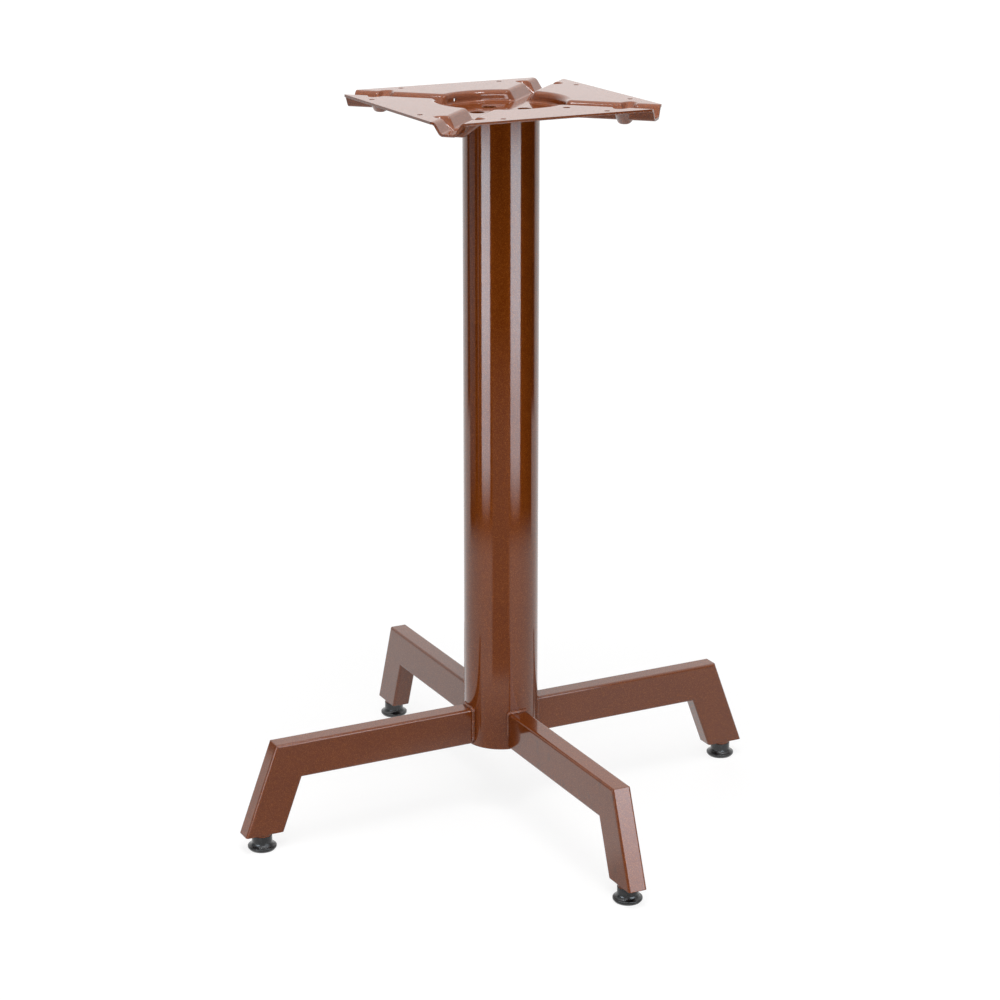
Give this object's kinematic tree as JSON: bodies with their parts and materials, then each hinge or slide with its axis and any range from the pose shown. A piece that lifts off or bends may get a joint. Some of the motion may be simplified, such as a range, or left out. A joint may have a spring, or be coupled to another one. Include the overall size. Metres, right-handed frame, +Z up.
{
  "type": "cafe table base",
  "caption": "Single-column table base: round steel column on a cross of sloping-foot tube arms, pressed plate on top, screw-out levelling glides.",
  "frame": {"origin": "on the floor, under the middle of the column", "axes": "+Z up; the arms lie along X and Y; the front is -Y"},
  "size_m": [0.577, 0.577, 0.735],
  "materials": {
    "brown_paint": "glossy metallic brown powder coat",
    "zinc_steel": "bright zinc",
    "black_plastic": "semi-gloss moulded"
  },
  "bodies": {
    "frame": {"top_plate": "brown_paint", "column": "brown_paint", "plate_weld": "brown_paint", "arm_welds": "brown_paint", "arm_right": "brown_paint", "leg_right": "brown_paint", "end_plate_right": "brown_paint", "bush_right": "brown_paint", "arm_back": "brown_paint", "leg_back": "brown_paint", "end_plate_back": "brown_paint", "bush_back": "brown_paint", "arm_left": "brown_paint", "leg_left": "brown_paint", "end_plate_left": "brown_paint", "bush_left": "brown_paint", "arm_front": "brown_paint", "leg_front": "brown_paint", "end_plate_front": "brown_paint", "bush_front": "brown_paint"},
    "levelling_foot_right": {"glide_right": "black_plastic", "stud_right": "zinc_steel"},
    "levelling_foot_back": {"glide_back": "black_plastic", "stud_back": "zinc_steel"},
    "levelling_foot_left": {"glide_left": "black_plastic", "stud_left": "zinc_steel"},
    "levelling_foot_front": {"glide_front": "black_plastic", "stud_front": "zinc_steel"}
  },
  "joints": [
    {"name": "screw_out_right", "type": "slide", "parent": "frame", "child": "levelling_foot_right", "axis": [0, 0, -1], "range_m": [0, 0.012]},
    {"name": "screw_out_back", "type": "slide", "parent": "frame", "child": "levelling_foot_back", "axis": [0, 0, -1], "range_m": [0, 0.012]},
    {"name": "screw_out_left", "type": "slide", "parent": "frame", "child": "levelling_foot_left", "axis": [0, 0, -1], "range_m": [0, 0.012]},
    {"name": "screw_out_front", "type": "slide", "parent": "frame", "child": "levelling_foot_front", "axis": [0, 0, -1], "range_m": [0, 0.012]}
  ]
}
